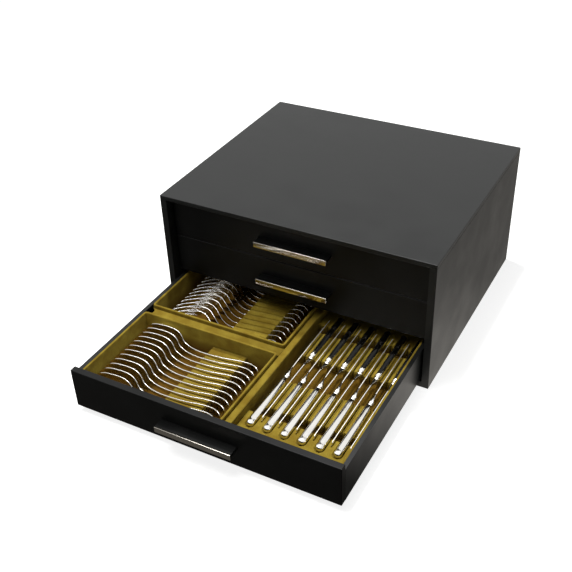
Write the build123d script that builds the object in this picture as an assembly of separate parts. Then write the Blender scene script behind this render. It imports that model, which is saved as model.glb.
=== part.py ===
"""A three-drawer silverware chest with its bottom drawer drawn out.

Millimetres. The origin is the centre of the cabinet's footprint on the
surface it stands on: +X is to the right, +Y to the back and +Z up.
The drawers and what lies in them are laid out in a drawer's own frame: x as in
the chest, y back from the outer face of the drawer front, z up from its lower edge.
"""
from build123d import *
import os

os.makedirs("parts", exist_ok=True)

# ---- Cabinet ---------------------------------------------------------------
TOP_THICKNESS = 7.0
SIDE_THICKNESS = 10.5
BASE_THICKNESS = 9.5
BACK_THICKNESS = 5.0
DIVIDER_THICKNESS = 6.0
DIVIDER_HOUSING = 3.0          # depth of the grooves that carry the dividers
DIVIDER_SETBACK = 1.0          # behind the back of the closed drawer fronts
FRONT_RECESS = 14.0            # closed drawer fronts stand this far inside
EDGE_RADIUS = 0.8              # softened outer edges of the lacquered boards

# ---- Drawers ---------------------------------------------------------------
DRAWER_NAMES = ("bottom", "middle", "top")
FRONT_HEIGHT = 64.0
FRONT_THICKNESS = 10.0
FRONT_GAP = 1.25               # above and below each front
SIDE_GAP = 3.0                 # between a drawer and the side panel
DRAWER_SIDE_THICKNESS = 6.0
DRAWER_SIDE_HEIGHT = 55.3
DRAWER_BACK_THICKNESS = 6.0
DRAWER_BOTTOM_THICKNESS = 3.5
DRAWER_BOTTOM_LIFT = 4.0       # of the bottom panel above the lower edge
DRAWER_BOTTOM_GROOVE = 3.0     # depth of the grooves around the bottom panel
DRAWER_TRAVEL = 280.0          # from closed to the stop pins
REST_OPENING = 275.0           # how far the bottom drawer is drawn out at rest

# ---- Running gear ----------------------------------------------------------
RUNNING_CLEARANCE = 0.3
RUNNER_HEIGHT = 10.0
RUNNER_LEDGE = 9.0             # width of the runner's lower leg
STOP_PIN_RADIUS = 2.5
STOP_PIN_INSET = 20.5          # from the inner face of a drawer side
STOP_HEAD_RADIUS = 4.5
STOP_HEAD_THICKNESS = 2.0
STOP_PIN_TIP_GAP = 0.5         # under the drawer bottom
PAD_THICKNESS = 1.2            # felt pads that stop a closing drawer
PAD_WIDTH = 20.0
PAD_HEIGHT = 12.0
PAD_INSET = 40.0
DOWEL_RADIUS = 2.5
DOWEL_EMBEDDED = 16.0          # in the end of a board
DOWEL_IN_TOP = 4.0
DOWEL_IN_SIDE = 7.0
DOWEL_PITCH = 150.0
DOWEL_CLEARANCE = 0.05

# ---- Drawer pulls ----------------------------------------------------------
PULL_WIDTH = 117.0
PULL_PROJECTION = 17.3
PULL_TOP = 35.0                # above the lower edge of the front
LEDGE_THICKNESS = 5.0
STRIP_THICKNESS = 2.5
STRIP_HEIGHT = 8.7
PULL_SCREW_PITCH = 80.0
PULL_SCREW_RADIUS = 1.5
PULL_SCREW_REACH = 10.0        # into the ledge
PULL_SCREW_HEAD_RADIUS = 3.0
PULL_SCREW_HEAD_THICKNESS = 2.0
PULL_SCREW_HEAD_SINK = 0.2
SCREW_CLEARANCE = 0.05

# ---- Lined trays and bars of the bottom drawer -----------------------------
FIT_CLEARANCE = 0.3
TRAY_WALL = 3.5
TRAY_FLOOR = 1.5
TRAY_TOP = 56.0                # above the lower edge of the front
TRAY_CORNER_RADIUS = 5.0
TRAY_RIM_RADIUS = 1.2
BAR_TOP = 50.5
CROSS_BAR_WIDTH = 17.0
BAY_WALL_WIDTH = 10.3
NOTCH_RADIUS = 8.0             # finger notch at the left end of the cross bar
LIP_WIDTH = 3.5
LIP_HEIGHT = 6.5
BAR_RADIUS = 1.0

# ---- Spoons, on edge with the bowls to the left ----------------------------
SPOON_COUNT = 12
SPOON_PITCH = 11.3
SPOON_LENGTH = 203.0
SPOON_THICKNESS = 1.6
SPOON_BOWL_LENGTH = 70.0
SPOON_BOWL_WIDTH = 42.0
SPOON_BOWL_DEPTH = 7.0
SPOON_NECK_RUN = 27.0          # from the bowl to the straight of the handle
SPOON_HANDLE_DROP = 10.5       # of the handle in front of the bowl's rim
SPOON_HANDLE_LIFT = 2.5        # rise of the handle before its curled end
SPOON_END_CURL = 5.0
SPOON_TIP_MARGIN = 5.0         # to the tray's left wall
SPOON_END_MARGIN = 13.2        # to the tray's right wall, or more
SPOON_WALL_MARGIN = 0.75       # to the front and back walls

# ---- Forks, on edge with the tines to the left -----------------------------
FORK_COUNT = 12
FORK_PITCH = 11.8
FORK_LENGTH = 188.0
FORK_THICKNESS = 1.6
FORK_HEAD_LENGTH = 56.0
FORK_HEAD_WIDTH = 26.0
FORK_TINES = 4
FORK_TINE_LENGTH = 40.0
FORK_TINE_GAP = 3.4
FORK_TINE_CURVE = 24.0         # of the tine tips in front of the head's back
FORK_NECK_RUN = 30.0
FORK_HEEL = 9.0                # from the end of the head to its highest point
FORK_HANDLE_DROP = 24.0        # of the handle in front of the head's back
FORK_HANDLE_LIFT = 2.0
FORK_END_CURL = 2.5
FORK_TIP_MARGIN = 18.0         # to the tray's left wall
FORK_END_MARGIN = 15.2         # to the tray's right wall, or more
FORK_WALL_MARGIN = 0.75

# ---- Handles of the spoons and forks ---------------------------------------
CURL_RUN = 12.0                # length of the curled end
CREST_RUN = 30.0               # from the handle's end to its highest point
NECK_WIDTH = 6.0
HANDLE_END_WIDTH = 20.0

# ---- Racks of the trays ----------------------------------------------------
RACK_LENGTH = 57.0
RACK_SLOT_CLEARANCE = 0.8      # beside the handle where it bends most
RACK_SIDE_GAP = 0.5
SPOON_RACK_START = 113.0       # from the spoons' bowl tips
SPOON_RACK_TOP = 32.5
FORK_RACK_START = 105.5        # from the forks' tine tips
FORK_RACK_TOP = 37.5
HEAD_REST_START = 22.0
HEAD_REST_LENGTH = 24.0
PLAN_STEPS = 400               # places at which a plan curve is read

# ---- Knives ----------------------------------------------------------------
KNIFE_COUNT = 6                # in each of the two directions
KNIFE_PITCH = 25.4
KNIFE_OFFSET = 12.0            # from a front-handled knife to the next one
KNIFE_LENGTH = 245.0
KNIFE_END_RADIUS = 5.4
KNIFE_WAIST_RADIUS = 4.2
KNIFE_HANDLE_LENGTH = 104.0
KNIFE_COLLAR_RADIUS = 4.8
KNIFE_COLLAR_LENGTH = 4.0
KNIFE_BOLSTER_LENGTH = 14.0
KNIFE_BLADE_THICKNESS = 1.8
KNIFE_SPINE = 6.0              # above the knife's axis
KNIFE_EDGE = 14.0              # below the knife's axis
KNIFE_AXIS = 38.0              # above the lower edge of the front
KNIFE_LEFT_MARGIN = 14.9       # from the bay wall to the first axis
KNIFE_RIGHT_MARGIN = 8.0       # from the last axis to the drawer side
KNIFE_FRONT_MARGIN = 28.7      # from the drawer front to the handle ends
KNIFE_REAR_MARGIN = 52.7       # from the handle ends to the drawer back

# ---- Knife bed -------------------------------------------------------------
BED_TOP = 22.0
RACK_TOP = 38.0
KNIFE_CLEARANCE = 0.5
TROUGH_RADIUS = 7.5
BLADE_SLOT_CLEARANCE = 0.6
POCKET_LENGTH = 26.0           # of handle that lies in a pocket plate
POCKET_END_GAP = 3.2
BLADE_TIP_GAP = 2.0
KNIFE_RACK_START = 43.0        # from the handle end
KNIFE_RACK_LENGTH = 58.0

# ---- Trays of the middle and top drawers -----------------------------------
LINING_TOP = 50.5
LINING_WALL = 5.0


# ---- Sizes that follow -----------------------------------------------------
spoon_room = SPOON_TIP_MARGIN + SPOON_LENGTH + SPOON_END_MARGIN
fork_room = FORK_TIP_MARGIN + FORK_LENGTH + FORK_END_MARGIN
tray_inner_width = max(spoon_room, fork_room)
tray_width = tray_inner_width + 2 * TRAY_WALL
bay_width = (KNIFE_LEFT_MARGIN + (KNIFE_COUNT - 1) * KNIFE_PITCH
             + KNIFE_OFFSET + KNIFE_RIGHT_MARGIN)
inner_width = tray_width + 2 * FIT_CLEARANCE + BAY_WALL_WIDTH + bay_width
inner_half = inner_width / 2
drawer_half = inner_half + DRAWER_SIDE_THICKNESS
opening_half = drawer_half + SIDE_GAP
cabinet_half = opening_half + SIDE_THICKNESS

spoon_span = SPOON_BOWL_DEPTH + SPOON_HANDLE_DROP + SPOON_END_CURL + SPOON_THICKNESS
spoon_tray_length = (2 * (TRAY_WALL + SPOON_WALL_MARGIN) + spoon_span
                     + (SPOON_COUNT - 1) * SPOON_PITCH)
fork_span = FORK_HANDLE_DROP + FORK_END_CURL + FORK_THICKNESS
fork_tray_length = (2 * (TRAY_WALL + FORK_WALL_MARGIN) + fork_span
                    + (FORK_COUNT - 1) * FORK_PITCH)
inner_start = FRONT_THICKNESS
cross_bar_start = inner_start + spoon_tray_length + 2 * FIT_CLEARANCE
cross_bar_end = cross_bar_start + CROSS_BAR_WIDTH
inner_end = cross_bar_end + fork_tray_length + 2 * FIT_CLEARANCE
drawer_length = inner_end + DRAWER_BACK_THICKNESS

cabinet_depth = (FRONT_RECESS + drawer_length + RUNNING_CLEARANCE
                 + PAD_THICKNESS + BACK_THICKNESS)
cabinet_front = -cabinet_depth / 2
cabinet_back = cabinet_depth / 2
back_inner = cabinet_back - BACK_THICKNESS
closed_face = cabinet_front + FRONT_RECESS
divider_front = closed_face + FRONT_THICKNESS + DIVIDER_SETBACK
storey = FRONT_HEIGHT + FRONT_GAP
top_underside = BASE_THICKNESS + FRONT_GAP + len(DRAWER_NAMES) * storey
drawer_floor = DRAWER_BOTTOM_LIFT + DRAWER_BOTTOM_THICKNESS
spoon_axis = drawer_floor + TRAY_FLOOR + FIT_CLEARANCE + SPOON_BOWL_WIDTH / 2
tray_left = -inner_half + FIT_CLEARANCE
tray_inner_left = tray_left + TRAY_WALL
bay_wall_left = tray_left + tray_width + FIT_CLEARANCE
bay_left = bay_wall_left + BAY_WALL_WIDTH
trough_axis = KNIFE_AXIS + TROUGH_RADIUS - KNIFE_END_RADIUS - KNIFE_CLEARANCE


# ---- Helpers ---------------------------------------------------------------
def block(x_range, y_range, z_range):
    """A box between a low and a high value along each axis."""
    ranges = (x_range, y_range, z_range)
    middle = [(low + high) / 2 for low, high in ranges]
    size = [high - low for low, high in ranges]
    return Pos(*middle) * Box(*size)


def rod(start, length, radius, direction):
    """A cylinder from a start point along a direction, given as a unit vector."""
    plane = Plane(origin=start, z_dir=direction)
    return plane * Cylinder(radius, length, align=(Align.CENTER, Align.CENTER, Align.MIN))


def softened(shape, radius, axis=None):
    """The shape with all its edges rounded, or only those along one axis."""
    edges = shape.edges()
    if axis is not None:
        edges = edges.filter_by(axis)
    return fillet(edges, radius)


def save(name, pieces):
    """Write one sub-part: a single solid or a group of separate ones."""
    if isinstance(pieces, list):
        pieces = Compound(children=pieces, label=name)
    pieces.label = name
    export_step(pieces, f"parts/{name}.step")


def drawer_place(index):
    """Where a drawer's own frame lies at rest."""
    opening = REST_OPENING if DRAWER_NAMES[index] == "bottom" else 0.0
    return Pos(0, closed_face - opening, BASE_THICKNESS + FRONT_GAP + index * storey)


def board_under(index):
    """The lower and upper face heights of the board that carries a drawer."""
    upper = BASE_THICKNESS + index * storey
    thickness = BASE_THICKNESS if index == 0 else DIVIDER_THICKNESS
    return upper - thickness, upper


# ---- Cabinet pieces --------------------------------------------------------
def dowel_rods(clearance):
    """Dowels that join the base and the top board to the two side panels."""
    radius = DOWEL_RADIUS + clearance
    rods = []
    for side in (-1, 1):
        for y in (-DOWEL_PITCH, 0, DOWEL_PITCH):
            base_start = (side * (opening_half - DOWEL_EMBEDDED), y, BASE_THICKNESS / 2)
            base_length = DOWEL_EMBEDDED + DOWEL_IN_SIDE
            rods.append(rod(base_start, base_length, radius, (side, 0, 0)))
            top_start = (side * (opening_half + SIDE_THICKNESS / 2), y,
                         top_underside - DOWEL_EMBEDDED)
            top_length = DOWEL_EMBEDDED + DOWEL_IN_TOP
            rods.append(rod(top_start, top_length, radius, (0, 0, 1)))
    return rods


def stop_pin(index, side, clearance):
    """A round-headed pin driven up through the board under a drawer."""
    lower, upper = board_under(index)
    x = side * (inner_half - STOP_PIN_INSET)
    y = (closed_face - DRAWER_TRAVEL + inner_end
         - RUNNING_CLEARANCE - STOP_PIN_RADIUS)
    head_top = lower + STOP_HEAD_THICKNESS
    tip = upper + FRONT_GAP + DRAWER_BOTTOM_LIFT - STOP_PIN_TIP_GAP
    shank = rod((x, y, head_top), tip - head_top, STOP_PIN_RADIUS + clearance, (0, 0, 1))
    head = rod((x, y, lower), STOP_HEAD_THICKNESS + clearance,
               STOP_HEAD_RADIUS + clearance, (0, 0, 1))
    return shank + head


def bored(board, index):
    """The board under a drawer with the bores of its two stop pins."""
    for side in (-1, 1):
        board -= stop_pin(index, side, SCREW_CLEARANCE)
    return board


def divider(index):
    """The board that carries a drawer, let into grooves in the side panels."""
    reach = opening_half + DIVIDER_HOUSING
    return block((-reach, reach), (divider_front, back_inner), board_under(index))


def runner_pair(index):
    """Two angle runners that carry and guide one drawer."""
    upper = board_under(index)[1]
    span = (divider_front, back_inner - PAD_THICKNESS)
    ledge_top = upper + FRONT_GAP - RUNNING_CLEARANCE
    pair = []
    for side in (-1, 1):
        inner_edge = side * (opening_half - RUNNER_LEDGE)
        guide_face = side * (drawer_half + RUNNING_CLEARANCE)
        wall = side * opening_half
        ledge = block(sorted((inner_edge, wall)), span, (upper, ledge_top))
        guide = block(sorted((guide_face, wall)), span, (upper, upper + RUNNER_HEIGHT))
        pair.append(ledge + guide)
    return pair


def make_cabinet():
    """Write the fixed pieces."""
    depth = (cabinet_front, cabinet_back)
    bores = dowel_rods(DOWEL_CLEARANCE)
    top_board = block((-cabinet_half, cabinet_half), depth,
                      (top_underside, top_underside + TOP_THICKNESS))
    save("top_board", softened(top_board, EDGE_RADIUS) - bores)
    base_board = block((-opening_half, opening_half), depth, (0, BASE_THICKNESS))
    save("base_board", bored(base_board - bores, 0))
    for side, name in ((-1, "left_side_panel"), (1, "right_side_panel")):
        faces = sorted((side * opening_half, side * cabinet_half))
        panel = block(faces, depth, (0, top_underside))
        outer = -1 if side > 0 else 0
        corners = panel.edges().filter_by(Axis.Z).group_by(Axis.X)[outer]
        panel = fillet(corners, EDGE_RADIUS)
        save(name, panel - bores - divider(1) - divider(2))
    save("back_panel", block((-opening_half, opening_half), (back_inner, cabinet_back),
                             (BASE_THICKNESS, top_underside)))
    save("lower_divider", bored(divider(1), 1))
    save("upper_divider", bored(divider(2), 2))
    save("carcase_dowels", dowel_rods(0))
    pins = []
    pads = []
    for index, name in enumerate(DRAWER_NAMES):
        save(f"{name}_runners", runner_pair(index))
        middle = board_under(index)[1] + FRONT_GAP + DRAWER_SIDE_HEIGHT / 2
        for side in (-1, 1):
            pins.append(stop_pin(index, side, 0))
            x = side * (drawer_half - PAD_INSET)
            pads.append(block((x - PAD_WIDTH / 2, x + PAD_WIDTH / 2),
                              (back_inner - PAD_THICKNESS, back_inner),
                              (middle - PAD_HEIGHT / 2, middle + PAD_HEIGHT / 2)))
    save("stop_pins", pins)
    save("back_pads", pads)


# ---- Drawer pieces ---------------------------------------------------------
def pull_screws(clearance):
    """Two screws from inside the drawer front into the ledge of the pull."""
    head_face = FRONT_THICKNESS - PULL_SCREW_HEAD_SINK
    head_seat = head_face - PULL_SCREW_HEAD_THICKNESS
    z = PULL_TOP - LEDGE_THICKNESS / 2
    screws = []
    for x in (-PULL_SCREW_PITCH / 2, PULL_SCREW_PITCH / 2):
        shank = rod((x, head_seat, z), head_seat + PULL_SCREW_REACH,
                    PULL_SCREW_RADIUS + clearance, (0, -1, 0))
        head = rod((x, head_seat - clearance, z),
                   PULL_SCREW_HEAD_THICKNESS + clearance,
                   PULL_SCREW_HEAD_RADIUS + clearance, (0, 1, 0))
        screws.append(shank + head)
    return screws


def pull_screw_bores():
    """The bores of those screws, with the heads' counterbores open to the inside."""
    bores = pull_screws(SCREW_CLEARANCE)
    z = PULL_TOP - LEDGE_THICKNESS / 2
    for x in (-PULL_SCREW_PITCH / 2, PULL_SCREW_PITCH / 2):
        depth = PULL_SCREW_HEAD_SINK + PULL_SCREW_HEAD_THICKNESS
        bores.append(rod((x, FRONT_THICKNESS - depth, z), depth,
                         PULL_SCREW_HEAD_RADIUS + SCREW_CLEARANCE, (0, 1, 0)))
    return bores


def drawer_box(name, place):
    """Write the five boards of one drawer and its pull."""
    groove = DRAWER_BOTTOM_GROOVE
    bottom = block((-inner_half - groove, inner_half + groove),
                   (inner_start - groove, inner_end + groove),
                   (DRAWER_BOTTOM_LIFT, drawer_floor))
    front = block((-drawer_half, drawer_half), (0, FRONT_THICKNESS), (0, FRONT_HEIGHT))
    front = softened(front, EDGE_RADIUS) - bottom - pull_screw_bores()
    side = block((inner_half, drawer_half), (inner_start, drawer_length),
                 (0, DRAWER_SIDE_HEIGHT)) - bottom
    back = block((-inner_half, inner_half), (inner_end, drawer_length),
                 (0, DRAWER_SIDE_HEIGHT)) - bottom
    half_pull = PULL_WIDTH / 2
    ledge_front = STRIP_THICKNESS - PULL_PROJECTION
    ledge = block((-half_pull, half_pull), (ledge_front, 0),
                  (PULL_TOP - LEDGE_THICKNESS, PULL_TOP)) - pull_screws(SCREW_CLEARANCE)
    strip = block((-half_pull, half_pull), (-PULL_PROJECTION, ledge_front),
                  (PULL_TOP - STRIP_HEIGHT, PULL_TOP))
    save(f"{name}_drawer_front", place * front)
    save(f"{name}_drawer_floor", place * bottom)
    save(f"{name}_drawer_right_side", place * side)
    save(f"{name}_drawer_left_side", place * mirror(side, about=Plane.YZ))
    save(f"{name}_drawer_back", place * back)
    save(f"{name}_pull_ledge", place * ledge)
    save(f"{name}_pull_strip", place * softened(strip, STRIP_THICKNESS / 4, Axis.X))
    save(f"{name}_pull_screws", [place * screw for screw in pull_screws(0)])


def lined_tray(x_range, y_range, top, compartments):
    """An open tray: a block with rounded compartments sunk down to its floor."""
    tray = softened(block(x_range, y_range, (drawer_floor, top)), TRAY_CORNER_RADIUS, Axis.Z)
    for x_inner, y_inner in compartments:
        hollow = block(x_inner, y_inner, (drawer_floor + TRAY_FLOOR, top))
        tray -= softened(hollow, TRAY_CORNER_RADIUS - TRAY_WALL / 2, Axis.Z)
    rim = tray.edges().group_by(Axis.Z)[-1]
    return fillet(rim, TRAY_RIM_RADIUS)


# ---- Cutlery ---------------------------------------------------------------
def bent_sheet(points, thickness, height):
    """A sheet that follows a smooth curve in plan, of one height about z = 0."""
    front = Spline(*[(x, y - thickness / 2) for x, y in points])
    back = Spline(*[(x, y + thickness / 2) for x, y in points])
    ends = [Line(front @ 0, back @ 0), Line(front @ 1, back @ 1)]
    return extrude(make_face([front, back] + ends), height / 2, both=True)


def handle_half_width(length, neck_end, distance):
    """Half the width of a spoon's or fork's handle, which widens to its end."""
    share = (distance - neck_end) / (length - HANDLE_END_WIDTH / 2 - neck_end)
    return (NECK_WIDTH + share * (HANDLE_END_WIDTH - NECK_WIDTH)) / 2


def handle_outline(length, neck_start, neck_end):
    """The side view of a handle with a round end, in x and z."""
    half_neck = NECK_WIDTH / 2
    half_end = HANDLE_END_WIDTH / 2
    end_centre = length - half_end
    corners = [(neck_start, half_neck), (neck_end, half_neck), (end_centre, half_end),
               (end_centre, -half_end), (neck_end, -half_neck), (neck_start, -half_neck)]
    blade = make_face(Polyline(*corners, close=True))
    return blade + Pos(end_centre, 0) * Circle(half_end)


def cut_to_outline(sheet, outline, depth):
    """The sheet cut to a side view drawn in x and z."""
    return sheet & extrude(Plane.XZ * outline, depth, both=True)


def handle_points(length, neck_end, drop, lift, curl):
    """The plan of a handle: a gentle rise to its crest, then a curl down to its end."""
    crest = length - CREST_RUN
    return [(neck_end, -drop), ((neck_end + crest) / 2, lift / 2 - drop), (crest, lift - drop),
            (length - CURL_RUN, lift / 2 - drop), (length, -drop - curl)]


def spoon_plan():
    """The points of a spoon's plan curve, from its bowl tip at x = 0."""
    points = [(0, 0), (SPOON_BOWL_LENGTH / 2, SPOON_BOWL_DEPTH), (SPOON_BOWL_LENGTH, 0)]
    return points + handle_points(SPOON_LENGTH, SPOON_BOWL_LENGTH + SPOON_NECK_RUN,
                                  SPOON_HANDLE_DROP, SPOON_HANDLE_LIFT, SPOON_END_CURL)


def fork_plan():
    """The points of a fork's plan curve, from its tine tips at x = 0."""
    points = [(0, -FORK_TINE_CURVE), (FORK_TINE_LENGTH / 2, -FORK_TINE_CURVE / 4),
              (FORK_HEAD_LENGTH - FORK_HEEL, 0),
              (FORK_HEAD_LENGTH + FORK_NECK_RUN / 2, -FORK_HANDLE_DROP / 2)]
    return points + handle_points(FORK_LENGTH, FORK_HEAD_LENGTH + FORK_NECK_RUN,
                                  FORK_HANDLE_DROP, FORK_HANDLE_LIFT, FORK_END_CURL)


def make_spoon():
    """One spoon on edge: bowl tip at x = 0, rim at y = 0, axis at z = 0."""
    sheet = bent_sheet(spoon_plan(), SPOON_THICKNESS, SPOON_BOWL_WIDTH)
    bowl = Pos(SPOON_BOWL_LENGTH / 2, 0) * Ellipse(SPOON_BOWL_LENGTH / 2, SPOON_BOWL_WIDTH / 2)
    outline = bowl + handle_outline(SPOON_LENGTH, SPOON_BOWL_LENGTH / 2,
                                    SPOON_BOWL_LENGTH + SPOON_NECK_RUN)
    return cut_to_outline(sheet, outline, spoon_span)


def make_fork():
    """One fork on edge: tine tips at x = 0, back of the head at y = 0, axis at z = 0."""
    sheet = bent_sheet(fork_plan(), FORK_THICKNESS, FORK_HEAD_WIDTH)
    head = Pos(FORK_HEAD_LENGTH / 2, 0) * RectangleRounded(
        FORK_HEAD_LENGTH, FORK_HEAD_WIDTH, NECK_WIDTH / 2)
    outline = head + handle_outline(FORK_LENGTH, FORK_HEAD_LENGTH - FORK_HEEL,
                                    FORK_HEAD_LENGTH + FORK_NECK_RUN)
    tine_pitch = (FORK_HEAD_WIDTH + FORK_TINE_GAP) / FORK_TINES
    for gap in range(FORK_TINES - 1):
        z = (gap - (FORK_TINES - 2) / 2) * tine_pitch
        outline -= Pos(0, z) * SlotOverall(2 * FORK_TINE_LENGTH, FORK_TINE_GAP)
    return cut_to_outline(sheet, outline, fork_span)


def make_knife():
    """One knife on edge: handle end at y = 0, blade towards +y, axis at x = z = 0."""
    collar = KNIFE_HANDLE_LENGTH + KNIFE_COLLAR_LENGTH
    bolster = collar + KNIFE_BOLSTER_LENGTH
    end = RadiusArc((0, 0), (KNIFE_END_RADIUS, KNIFE_END_RADIUS), -KNIFE_END_RADIUS)
    rest = Polyline(end @ 1, (KNIFE_WAIST_RADIUS, KNIFE_HANDLE_LENGTH),
                    (KNIFE_COLLAR_RADIUS, KNIFE_HANDLE_LENGTH),
                    (KNIFE_COLLAR_RADIUS, collar), (KNIFE_BLADE_THICKNESS, bolster),
                    (0, bolster), (0, 0))
    handle = revolve(make_face([end, rest]), Axis.Y)
    half_blade = KNIFE_BLADE_THICKNESS / 2
    blade = block((-half_blade, half_blade), (collar, KNIFE_LENGTH), (-KNIFE_EDGE, KNIFE_SPINE))
    across = blade.edges().filter_by(Axis.X).group_by(Axis.Z)[0].sort_by(Axis.Y)
    blade = fillet(across[-1], KNIFE_EDGE)
    blade = fillet(blade.edges().filter_by(Axis.X).sort_by(Axis.Y)[0], KNIFE_EDGE / 2)
    return handle + blade


# ---- Where the cutlery lies ------------------------------------------------
front_handle_ends = inner_start + KNIFE_FRONT_MARGIN
rear_handle_ends = inner_end - KNIFE_REAR_MARGIN
front_knife_axes = [bay_left + KNIFE_LEFT_MARGIN + i * KNIFE_PITCH for i in range(KNIFE_COUNT)]
rear_knife_axes = [x + KNIFE_OFFSET for x in front_knife_axes]
spoon_tips = tray_inner_left + SPOON_TIP_MARGIN
fork_tips = tray_inner_left + FORK_TIP_MARGIN
first_spoon = (inner_start + FIT_CLEARANCE + TRAY_WALL + SPOON_WALL_MARGIN
               + SPOON_HANDLE_DROP + SPOON_END_CURL + SPOON_THICKNESS / 2)
spoon_rows = [first_spoon + i * SPOON_PITCH for i in range(SPOON_COUNT)]
first_fork = (cross_bar_end + FIT_CLEARANCE + TRAY_WALL + FORK_WALL_MARGIN
              + FORK_HANDLE_DROP + FORK_END_CURL + FORK_THICKNESS / 2)
fork_rows = [first_fork + i * FORK_PITCH for i in range(FORK_COUNT)]


def plan_extent(points, start, end):
    """The lowest and the highest y of a plan curve between two places along x."""
    curve = Spline(*points)
    places = [curve @ (step / PLAN_STEPS) for step in range(PLAN_STEPS + 1)]
    heights = [place.Y for place in places if start <= place.X <= end]
    return min(heights), max(heights)


def tray_rack(x_range, tray_y, top, slots, slot_floor):
    """A rack that fills a tray from front to back, with slots that are y ranges."""
    y_range = (tray_y[0] + TRAY_WALL + RACK_SIDE_GAP, tray_y[1] - TRAY_WALL - RACK_SIDE_GAP)
    rack = block(x_range, y_range, (drawer_floor + TRAY_FLOOR, top))
    return rack - [block(x_range, slot, (slot_floor, top)) for slot in slots]


def handle_slots(rows, points, thickness, rack_start):
    """The y ranges of a rack's slots, as wide as the handles' bend there needs."""
    low, high = plan_extent(points, rack_start, rack_start + RACK_LENGTH)
    side = thickness / 2 + RACK_SLOT_CLEARANCE
    return [(row + low - side, row + high + side) for row in rows]


def make_trays(place):
    """Write the two cutlery trays, their racks and what lies in them."""
    tray_x = (tray_left, tray_left + tray_width)
    spoon_y = (inner_start + FIT_CLEARANCE, cross_bar_start - FIT_CLEARANCE)
    fork_y = (cross_bar_end + FIT_CLEARANCE, inner_end - FIT_CLEARANCE)
    for name, tray_y in (("spoon_tray", spoon_y), ("fork_tray", fork_y)):
        hollow = [((tray_x[0] + TRAY_WALL, tray_x[1] - TRAY_WALL),
                   (tray_y[0] + TRAY_WALL, tray_y[1] - TRAY_WALL))]
        save(name, place * lined_tray(tray_x, tray_y, TRAY_TOP, hollow))

    spoon_rack_x = (spoon_tips + SPOON_RACK_START,
                    spoon_tips + SPOON_RACK_START + RACK_LENGTH)
    spoon_half = handle_half_width(SPOON_LENGTH, SPOON_BOWL_LENGTH + SPOON_NECK_RUN,
                                   SPOON_RACK_START + RACK_LENGTH)
    spoon_slots = handle_slots(spoon_rows, spoon_plan(), SPOON_THICKNESS, SPOON_RACK_START)
    save("spoon_rack", place * tray_rack(spoon_rack_x, spoon_y, SPOON_RACK_TOP, spoon_slots,
                                         spoon_axis - spoon_half - FIT_CLEARANCE))

    fork_rack_x = (fork_tips + FORK_RACK_START, fork_tips + FORK_RACK_START + RACK_LENGTH)
    fork_half = handle_half_width(FORK_LENGTH, FORK_HEAD_LENGTH + FORK_NECK_RUN,
                                  FORK_RACK_START + RACK_LENGTH)
    fork_slots = handle_slots(fork_rows, fork_plan(), FORK_THICKNESS, FORK_RACK_START)
    save("fork_rack", place * tray_rack(fork_rack_x, fork_y, FORK_RACK_TOP, fork_slots,
                                        spoon_axis - fork_half - FIT_CLEARANCE))
    head_rest_x = (fork_tips + HEAD_REST_START, fork_tips + HEAD_REST_START + HEAD_REST_LENGTH)
    head_rest_top = spoon_axis - FORK_HEAD_WIDTH / 2 - FIT_CLEARANCE
    save("fork_head_rest", place * tray_rack(head_rest_x, fork_y, head_rest_top, [],
                                             head_rest_top))

    spoon = make_spoon()
    save("spoons", [place * Pos(spoon_tips, y, spoon_axis) * spoon for y in spoon_rows])
    fork = make_fork()
    save("forks", [place * Pos(fork_tips, y, spoon_axis) * fork for y in fork_rows])


def make_bars(place):
    """Write the bar between the trays, the wall of the knife bay and its lip."""
    cross_bar = block((-inner_half, bay_wall_left), (cross_bar_start, cross_bar_end),
                      (drawer_floor, BAR_TOP))
    cross_bar = fillet(cross_bar.edges().filter_by(Axis.X).group_by(Axis.Z)[-1], BAR_RADIUS)
    notch_centre = (-inner_half, (cross_bar_start + cross_bar_end) / 2, drawer_floor)
    cross_bar -= rod(notch_centre, BAR_TOP - drawer_floor, NOTCH_RADIUS, (0, 0, 1))
    save("tray_cross_bar", place * cross_bar)
    bay_wall = block((bay_wall_left, bay_left), (inner_start, inner_end), (drawer_floor, BAR_TOP))
    bay_wall = fillet(bay_wall.edges().filter_by(Axis.Y).group_by(Axis.Z)[-1], BAR_RADIUS)
    save("knife_bay_wall", place * bay_wall)
    lip = block((inner_half - LIP_WIDTH, inner_half), (inner_start, inner_end),
                (DRAWER_SIDE_HEIGHT - LIP_HEIGHT, DRAWER_SIDE_HEIGHT - BAR_RADIUS))
    save("knife_bay_lip", place * lip)


def handle_trough(x, start, end):
    """The half-round room of a knife handle between two places."""
    return rod((x, start, trough_axis), end - start, TROUGH_RADIUS, (0, 1, 0))


def pocket_end(x, y):
    """The round end of a handle's room."""
    return Pos(x, y, trough_axis) * Sphere(TROUGH_RADIUS)


def blade_slot(x, start, end):
    """The room of a blade between two places, open above."""
    half = KNIFE_BLADE_THICKNESS / 2 + BLADE_SLOT_CLEARANCE
    return block((x - half, x + half), (start, end),
                 (KNIFE_AXIS - KNIFE_EDGE - KNIFE_CLEARANCE, RACK_TOP))


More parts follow.
